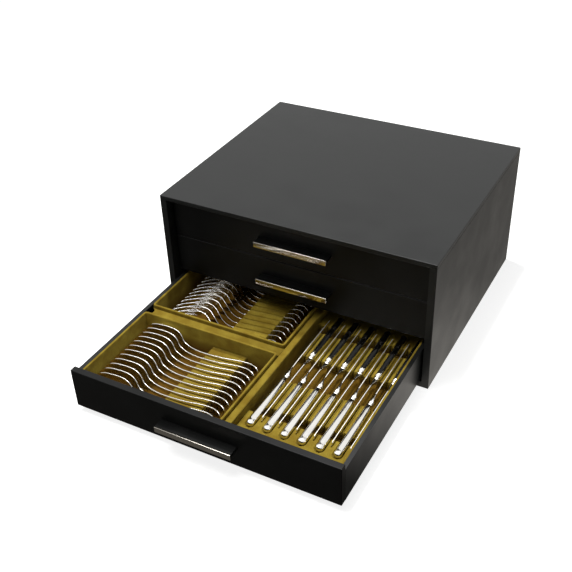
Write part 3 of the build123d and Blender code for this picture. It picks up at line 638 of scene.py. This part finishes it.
def polished_strip(colours):
    """Polished stainless strip, drawn lengthways: a mirror with fine lines along it."""
    made, place = new_material("polished_steel_strip")
    lines = noise(place, 0.8 * MM, 3.0, (0.02, 1, 1))
    return finish_material(made, {
        "Base Color": shades(lines, colours.strip, 0.92, 1), "Metallic": 1.0,
        "Roughness": between(lines, 0.1, 0.18), "Normal": bump(lines, 0.04, 0.03 * MM)})


def zinc_steel():
    """Zinc-plated screw steel: pale grey metal with a faint crystal bloom."""
    made, place = new_material("zinc_plated_steel")
    bloom = noise(place, 0.9 * MM, 3.0)
    return finish_material(made, {
        "Base Color": hex_shades(bloom, "#a7a8a6", "#c4c5c2"), "Metallic": 1.0,
        "Roughness": between(bloom, 0.28, 0.42)})


def black_nylon():
    """Moulded nylon: dark, slightly waxy, with a fine matte grain from the mould."""
    made, place = new_material("moulded_nylon")
    grain = noise(place, 0.7 * MM)
    return finish_material(made, {
        "Base Color": hex_shades(grain, "#151515", "#242424"),
        "Roughness": between(grain, 0.42, 0.55), "Normal": bump(grain, 0.15, 0.05 * MM)})


def wool_felt():
    """Pressed wool felt: matte, with matted fibres about half a millimetre apart."""
    made, place = new_material("wool_felt")
    fibre = noise(place, 0.6 * MM, 5.0)
    return finish_material(made, {
        "Base Color": hex_shades(fibre, "#121212", "#2a2a29"),
        "Roughness": 0.95, "Sheen Weight": 0.2, "Normal": bump(fibre, 0.5, 0.3 * MM)})


def beech():
    """Plain turned beech: pale, with short darker flecks along its grain."""
    made, place = new_material("beech_wood")
    fleck = noise(place, 1.2 * MM, 4.0, (1, 1, 0.2))
    return finish_material(made, {
        "Base Color": hex_shades(between(fleck, 0, 1), "#b98a5c", "#d2a878"),
        "Roughness": between(fleck, 0.5, 0.62)})


def dress(nodes, finish):
    """Give CAD nodes a finish, with their own shape as it is."""
    for name in nodes:
        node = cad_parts[name]
        node.data.materials.clear()
        node.data.materials.append(finish)


def nodes_ending(*endings):
    """The CAD nodes whose names end in one of some words."""
    return [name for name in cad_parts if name.endswith(endings)]


# ---- Operators ----
class CHEST_OT_cabinet(bpy.types.Operator):
    """Finish the cabinet's boards, its runners and its small inner pieces"""
    bl_idname = "chest.cabinet"
    bl_label = "Finish the cabinet"

    def execute(self, context):
        """Satin lacquer outside, stained board inside, and each small piece its own finish."""
        colours = context.scene.chest_finishes
        dress(["top_board", "left_side_panel", "right_side_panel"], satin_lacquer(colours))
        dress(["base_board", "back_panel", "lower_divider", "upper_divider"],
              stained_board(colours))
        dress(nodes_ending("_runners"), black_nylon())
        dress(["stop_pins"], zinc_steel())
        dress(["back_pads"], wool_felt())
        dress(["carcase_dowels"], beech())
        return {"FINISHED"}


class CHEST_OT_drawers(bpy.types.Operator):
    """Finish the three drawer boxes and their pulls"""
    bl_idname = "chest.drawers"
    bl_label = "Finish the drawers"

    def execute(self, context):
        """Lacquer darkened with painted shade on fronts and ledges, satin on the boxes, steel on
        the pulls.
        """
        colours = context.scene.chest_finishes
        # Painted shade: the fronts and ledges get a darker, less glossy copy of the cabinet's
        # lacquer.
        dress(nodes_ending("_drawer_front", "_pull_ledge"), front_lacquer_painted_shade(colours))
        dress(nodes_ending("_drawer_left_side", "_drawer_right_side", "_drawer_back"),
              bpy.data.materials["satin_black_lacquer"])
        dress(nodes_ending("_drawer_floor"), bpy.data.materials["stained_fibreboard"])
        dress(nodes_ending("_pull_screws"), bpy.data.materials["zinc_plated_steel"])
        steel = polished_strip(colours)
        for drawer in DRAWERS:
            node = f"{drawer}_pull_strip"
            mesh_piece(f"{drawer}_pull_trim", [rounded_strip(*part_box(node), 0.5 * MM)],
                       f"{drawer}_drawer", steel, node)
        return {"FINISHED"}


def cover(node, parts, body=LOADED_DRAWER):
    """One velvet piece that stands for its board."""
    mesh_piece(f"velvet_{node}", parts, body,
               bpy.data.materials["cotton_velvet"], node)


class CHEST_OT_linings(bpy.types.Operator):
    """Cover the trays, bars, racks and plates with velvet"""
    bl_idname = "chest.linings"
    bl_label = "Line with velvet"

    def execute(self, context):
        """Trays and bars with round edges, each over its own board in the frame."""
        velvet(context.scene.chest_finishes)
        sizes = context.scene.chest_linings
        for name in ("spoon_tray", "fork_tray"):
            low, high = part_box(name)
            cover(name, [padded_tray(low, high, sizes.tray_wall, sizes.tray_corner,
                                     low.z + TRAY_FLOOR, sizes.pile)])
        for name in ("knife_bay_wall", "knife_bed", "fork_head_rest", "knife_bay_lip"):
            cover(name, [padded_bar(*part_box(name), sizes.pile)])
        cover("tray_cross_bar", [self.cross_bar(sizes)])
        for drawer in DRAWERS[1:]:
            cover(f"{drawer}_tray", self.upper_tray(drawer, sizes), f"{drawer}_drawer")
        return {"FINISHED"}

    def cross_bar(self, sizes):
        """The bar between the trays, with a round finger notch in its left end."""
        low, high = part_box("tray_cross_bar")
        middle = (low.y + high.y) / 2
        reach = min(sizes.notch, (high.y - low.y) / 2 - 0.6 * MM)
        angle = np.linspace(math.pi / 2, -math.pi / 2, 15)
        notch = np.stack([low.x + reach * np.cos(angle), middle + reach * np.sin(angle)], -1)
        corners = [(low.x, low.y), (high.x, low.y), (high.x, high.y), (low.x, high.y)]
        return padded_bar(low, high, sizes.pile / 3, np.concatenate([corners, notch]))

    def upper_tray(self, drawer, sizes):
        """A shallow tray for one upper drawer, with two bars that part it in three."""
        low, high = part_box(f"{drawer}_tray")
        lower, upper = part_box("tray_cross_bar")
        wall_low, wall_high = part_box("knife_bay_wall")
        shift = low.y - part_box("knife_bed")[0].y
        floor = low.z + TRAY_FLOOR
        tray = padded_tray(low, high, sizes.lining_wall, sizes.tray_corner, floor, sizes.pile)
        inner = sizes.lining_wall / 2
        cross = padded_bar((low.x + inner, lower.y + shift, floor - MM),
                           (wall_low.x + inner, upper.y + shift, high.z), sizes.pile)
        long_bar = padded_bar((wall_low.x, low.y + inner, floor - MM),
                              (wall_high.x, high.y - inner, high.z), sizes.pile)
        return [tray, cross, long_bar]


class CHEST_OT_racks(bpy.types.Operator):
    """Cover the racks and plates that hold the flatware with velvet"""
    bl_idname = "chest.racks"
    bl_label = "Line the racks"

    def execute(self, context):
        """Slotted racks under the spoons and forks, and the knives' racks and pockets."""
        self.sizes = context.scene.chest_linings
        flatware = context.scene.chest_flatware
        self.handle_rack("spoon_rack", "spoons", flatware.spoon_pitch, flatware.spoon_reach,
                         SPOON_LINE, slot=4.4 * MM, crown=1.6 * MM)
        self.handle_rack("fork_rack", "forks", flatware.fork_pitch, flatware.fork_reach,
                         FORK_LINE, slot=2.3 * MM, crown=3.6 * MM)
        for name in ("front_pocket_plate", "front_knife_rack", "rear_knife_rack",
                     "rear_pocket_plate"):
            self.knife_block(name)
        return {"FINISHED"}

    def handle_rack(self, name, group, pitch, reach, line, slot, crown):
        """A rack whose slots follow the handles, with ridges rounded to a crown."""
        low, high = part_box(name)
        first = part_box(group)[0]
        along = end_rows(low.x, high.x, self.sizes.pile, 4 * MM)
        rows = first.y + reach + pitch * np.arange(FLATWARE_COUNT)
        line = through(along - first.x, *line)
        part = np.array([0, 0.3, 0.6, 0.85, 1])
        fall = self.sizes.pile * (1 - np.sqrt(1 - part ** 2))
        edge, wall = slot / 2 + crown * (1 - part), slot / 2 - 0.05 * MM
        side = np.concatenate([-edge, [-wall, wall], edge[::-1]])
        depth = high.z - low.z - RACK_FLOOR
        fall = np.concatenate([fall, [depth, depth], fall[::-1]])
        middle = (rows[:, None] + line.mean() + side).ravel()
        tops = high.z - np.tile(fall, FLATWARE_COUNT)
        start, end = [low.y, low.y + RACK_EDGE], [high.y - RACK_EDGE, high.y]
        keep = (middle > start[1] + RACK_SIDE) & (middle < end[0] - RACK_SIDE)
        across = middle[keep] + (line - line.mean())[:, None]
        across = np.concatenate([np.tile(start, (len(along), 1)), across,
                                 np.tile(end, (len(along), 1))], 1)
        tops = np.concatenate([[high.z - RACK_EDGE, high.z], tops[keep],
                               [high.z, high.z - RACK_EDGE]])
        tops = np.broadcast_to(tops, across.shape)
        cover(name, [padded_block(across, along, tops, low.z, self.sizes.pile, swap=True)])

    def knife_block(self, name):
        """A plate with pockets for the handles' ends, or a rack of ridges and round bars."""
        low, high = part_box(name)
        sizes = self.sizes
        rack, front = name.endswith("_rack"), name.startswith("front")
        held, passing = ("front_knives", "rear_knives")[::1 if front else -1]
        handles, blades = knife_axes(held), knife_axes(passing)
        radius = sizes.trough - (GRIP if rack else 0)
        if rack:
            low.x = min(handles[0], blades[0]) - RACK_MARGIN
        across = self.places_across(low.x, high.x, handles, blades, radius)
        along = end_rows(low.y, high.y, sizes.pile, 1.6 * MM)
        line = self.ridges(across, handles, blades, high.z, radius) if rack else high.z
        tops = np.broadcast_to(line, (len(along), len(across)))
        inset = sizes.trough - sizes.pocket_end
        end, tip = (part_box(node)[0 if front else 1].y for node in (held, passing))
        if front:
            trough, slit = (end + inset, high.y + RUN_OUT), (tip - TIP_ROOM, high.y + MM)
        else:
            trough, slit = (low.y - RUN_OUT, end - inset), (low.y - MM, tip + TIP_ROOM)
        centre = knife_height() + (GRIP_RISE if rack else sizes.trough_rise)
        for x in handles:
            tops = np.minimum(tops, capsule_room(across, along, x, *trough, centre, radius))
        beside = np.abs(across[:, None] - blades).min(1) < sizes.slit / 2 * 0.98
        inside = beside & ((along >= slit[0]) & (along <= slit[1]))[:, None]
        tops = np.where(inside, np.minimum(tops, knife_height() - EDGE_ROOM), tops)
        edge = np.minimum(across - low.x, high.x - across)
        tops = tops - sizes.pile * (1 - round_end(edge, sizes.pile))
        cover(name, [padded_block(across, along, tops, low.z, sizes.pile)])

    def places_across(self, start, end, handles, blades, radius):
        """Places across a block: dense over each trough, slit, ridge and end."""
        room = radius * np.sin(np.linspace(-math.pi / 2, math.pi / 2, 15))
        slit = self.sizes.slit / 2 * np.array([-1.0, -0.96, 0.96, 1.0])
        rim = self.sizes.pile * np.array([0.1, 0.3, 0.6])
        across = np.concatenate([
            (handles[:, None] + room).ravel(), (blades[:, None] + slit).ravel(),
            np.arange(start, end, 0.35 * MM), start + rim, end - rim, [end]])
        return np.unique(np.round(across[(across >= start) & (across <= end)], 5))

    def ridges(self, across, handles, blades, top, radius):
        """Heights of a rack: low ridges beside each blade, a round bar left of each handle."""
        sizes = self.sizes
        heights = np.full(len(across), top - RACK_FALL)
        reach = sizes.slit / 2 + sizes.ridge / 2
        rows = [(blades - reach, sizes.ridge, RIDGE_FALL),
                (blades + reach, sizes.ridge, RIDGE_FALL),
                (handles - radius - sizes.bar / 2 + 0.2 * MM, sizes.bar, 0.0)]
        for centres, width, fall in rows:
            off = np.abs(across[:, None] - centres).min(1) / (width / 2)
            crown = top - fall - 0.9 * MM * (1 - np.sqrt(np.clip(1 - off ** 4, 0, None)))
            heights = np.where(off < 1, np.maximum(heights, crown), heights)
        return heights


def knife_axes(name):
    """Where the axes of one set of knives lie along x."""
    low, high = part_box(name)
    return np.linspace(low.x + HANDLE_END_RADIUS, high.x - HANDLE_END_RADIUS, KNIFE_COUNT)


def knife_height():
    """The height of the knives' axes."""
    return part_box("front_knives")[1].z - bpy.context.scene.chest_flatware.knife_spine


class CHEST_OT_flatware(bpy.types.Operator):
    """Lay the spoons, forks and knives in their places"""
    bl_idname = "chest.flatware"
    bl_label = "Lay the flatware"

    def execute(self, context):
        """Twelve spoons, twelve forks, and two sets of six knives with steel blades."""
        colours = context.scene.chest_finishes
        mirror = silver_plate(colours, "mirror_polished_silver", 0.07, 0.12)
        satin = silver_plate(colours, "hand_polished_silver", 0.09, 0.13)
        sizes = context.scene.chest_flatware
        for node, shape, pitch, reach in (
                ("spoons", spoon_shape, sizes.spoon_pitch, sizes.spoon_reach),
                ("forks", fork_shape, sizes.fork_pitch, sizes.fork_reach)):
            low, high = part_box(node)
            places = [(low.x, low.y + reach + pitch * i, (low.z + high.z) / 2)
                      for i in range(FLATWARE_COUNT)]
            self.lay(node, shape(high.x - low.x, sizes), places, mirror)
        low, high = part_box("front_knives")
        parts = knife_shape(high.y - low.y, sizes)
        finishes = [satin] * KNIFE_COUNT + [blade_steel()] * KNIFE_COUNT
        for node, turn, end in (("front_knives", 1, low.y),
                                ("rear_knives", -1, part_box("rear_knives")[1].y)):
            places = [(x, end, knife_height()) for x in knife_axes(node)]
            turned = [(points * (turn, turn, 1), faces) for points, faces in parts]
            self.lay(node, turned, places, finishes)
        return {"FINISHED"}

    def lay(self, node, parts, places, finish):
        """One set of flatware, each part of it at every place, that stands for its solids."""
        laid = [copy for part in parts for copy in copies(part, places)]
        mesh_piece(f"silver_{node}", laid, LOADED_DRAWER, finish, node)


class CHEST_OT_studio(bpy.types.Operator):
    """Set the floor, the lights and the camera"""
    bl_idname = "chest.studio"
    bl_label = "Set the studio"

    def execute(self, context):
        """A pale floor, a large softbox overhead, soft light all round, and the camera."""
        studio = context.scene.chest_studio
        self.floor()
        self.painted_reflections()
        self.world(context, studio)
        self.lights(studio)
        self.camera(context, studio)
        return {"FINISHED"}

    def floor(self):
        """A round pale floor that shows white and keeps the chest's shadow."""
        made, place = new_material("pale_studio_floor")
        tree = made.node_tree
        colour = hex_shades(noise(place, 0.4), "#b9b9b7", "#bfbfbd")
        matte = add_node(tree, "ShaderNodeBsdfDiffuse", {"Color": colour})
        lift = add_node(tree, "ShaderNodeEmission", {"Strength": seen_strength(tree, 0.85)})
        both = add_node(tree, "ShaderNodeAddShader", {0: matte.outputs[0], 1: lift.outputs[0]})
        add_node(tree, "ShaderNodeOutputMaterial", {"Surface": both.outputs[0]})
        angle = np.linspace(0, 2 * math.pi, 64, endpoint=False)
        self.lay_flat("studio_floor", 8 * np.stack([np.cos(angle), np.sin(angle)], -1),
                      -0.2 * MM, made)

    def lay_flat(self, name, outline, height, finish):
        """A flat piece of the studio on the floor."""
        mesh = bpy.data.meshes.new(name)
        points = np.pad(outline, ((0, 0), (0, 1)), constant_values=height)
        mesh.from_pydata(points.tolist(), [], [list(range(len(points)))])
        mesh.materials.append(finish)
        piece = new_object(name, mesh)
        return piece

    def painted_reflections(self):
        """A glowing card on the floor that only mirrors see: painted reflections, dark in front and
        graded at the right.

        It keeps the fronts mirroring deep black and grades what the right side mirrors.
        """
        made, place = new_material("painted_reflection_card")
        tree = made.node_tree
        x, y = add_node(tree, "ShaderNodeSeparateXYZ", {0: place}).outputs[:2]
        right = add_node(tree, "ShaderNodeMath", {
            0: between(y, 1.0, 0.42, -0.22, 0.12), 1: between(y, 0.06, 1.0, -0.4, -0.2)},
            operation="MULTIPLY").outputs[0]
        level = between(x, 0.12, right, 0.2, 0.206)
        # Painted reflection: the card glows only for mirrors, not as a lamp.
        card = add_node(tree, "ShaderNodeEmission", {
            "Color": opaque(linear("#fffaf2")), "Strength": level})
        add_node(tree, "ShaderNodeOutputMaterial", {"Surface": card.outputs[0]})
        outline = 1.5 * np.array([(-1, -1), (1, -1), (1, 1), (-1, 1)])
        piece = self.lay_flat("painted_reflection_card", outline, -0.1 * MM, made)
        piece.visible_camera = piece.visible_diffuse = piece.visible_shadow = False
        piece.visible_transmission = False

    def world(self, context, studio):
        """White where it is seen or mirrored, softer where it lights."""
        world = bpy.data.worlds.new("studio")
        context.scene.world = world
        world.use_nodes = True
        tree = world.node_tree
        tree.nodes.clear()
        light, shown = (add_node(tree, "ShaderNodeBackground", {
            "Color": opaque(linear("#ffffff")), "Strength": strength}).outputs[0]
            for strength in (studio.fill, 1.0))
        both = add_node(tree, "ShaderNodeMixShader", {
            0: seen_strength(tree, 1.0), 1: light, 2: shown})
        add_node(tree, "ShaderNodeOutputWorld", {"Surface": both.outputs[0]})

    def lights(self, studio):
        """A large softbox above the front left, and a small lamp high above the chest."""
        for name, size, power, place in (
                ("softbox", 1.1, studio.key, (-0.35, -0.45, 1.7)),
                ("small_lamp", 0.12, studio.spot, (-0.1, 0.25, 1.8))):
            data = bpy.data.lights.new(name, "AREA")
            data.size, data.energy = size, power
            lamp = new_object(name, data)
            lamp.location = place
            aim = Vector((0, -0.2, 0.05)) - lamp.location     # at the open drawer
            lamp.rotation_euler = aim.to_track_quat("-Z", "Y").to_euler()

    def camera(self, context, studio):
        """A camera turned by its roll, then raised, and then turned round the chest."""
        turns = ((studio.camera_turn, "Z"), (math.pi / 2 - studio.camera_height, "X"),
                 (studio.camera_roll, "Z"))
        place = Matrix.Translation(studio.camera_place)
        for angle, axis in turns:
            place = place @ Matrix.Rotation(angle, 4, axis)
        data = bpy.data.cameras.new("camera")
        data.lens = studio.lens
        data.sensor_width = 36.0
        seer = new_object("camera", data)
        seer.matrix_world = place
        context.scene.camera = seer
        context.scene.view_settings.view_transform = "Standard"


def seen_strength(tree, strength):
    """A strength for rays from the camera, a mirror or a clear piece, and 0 for others."""
    path = add_node(tree, "ShaderNodeLightPath")
    seen = path.outputs["Is Camera Ray"]
    for kind in ("Is Glossy Ray", "Is Transmission Ray"):
        seen = add_node(tree, "ShaderNodeMath", {0: seen, 1: path.outputs[kind]},
                        operation="MAXIMUM").outputs[0]
    return add_node(tree, "ShaderNodeMath", {0: seen, 1: strength},
                    operation="MULTIPLY").outputs[0]


class CHEST_PT_panel(bpy.types.Panel):
    """The steps that dress the chest"""
    bl_label = "Silverware chest"
    bl_idname = "CHEST_PT_panel"
    bl_space_type = "VIEW_3D"
    bl_region_type = "UI"
    bl_category = "Chest"

    def draw(self, context):
        """List the operators and their settings."""
        for step in STEPS:
            self.layout.operator(step.bl_idname)
        for group in SETTINGS:
            box = self.layout.box()
            for name in SETTINGS[group].__annotations__:
                box.prop(getattr(context.scene, group), name)


SETTINGS = {"chest_finishes": ChestFinishes, "chest_flatware": FlatwareSizes,
            "chest_linings": LiningSizes, "chest_studio": StudioSettings}
STEPS = (CHEST_OT_cabinet, CHEST_OT_drawers, CHEST_OT_linings, CHEST_OT_racks,
         CHEST_OT_flatware, CHEST_OT_studio)


def register():
    """Make the settings, the operators and the panel known to Blender."""
    for group in (*SETTINGS.values(), *STEPS, CHEST_PT_panel):
        bpy.utils.register_class(group)
    for name, group in SETTINGS.items():
        setattr(bpy.types.Scene, name, bpy.props.PointerProperty(type=group))


def unregister():
    """Undo register."""
    for name in SETTINGS:
        delattr(bpy.types.Scene, name)
    for group in (CHEST_PT_panel, *reversed(STEPS), *reversed(SETTINGS.values())):
        bpy.utils.unregister_class(group)


def main():
    """Dress the whole chest."""
    register()
    for step in ("cabinet", "drawers", "linings", "racks", "flatware", "studio"):
        getattr(bpy.ops.chest, step)()


if __name__ == "__main__":
    main()
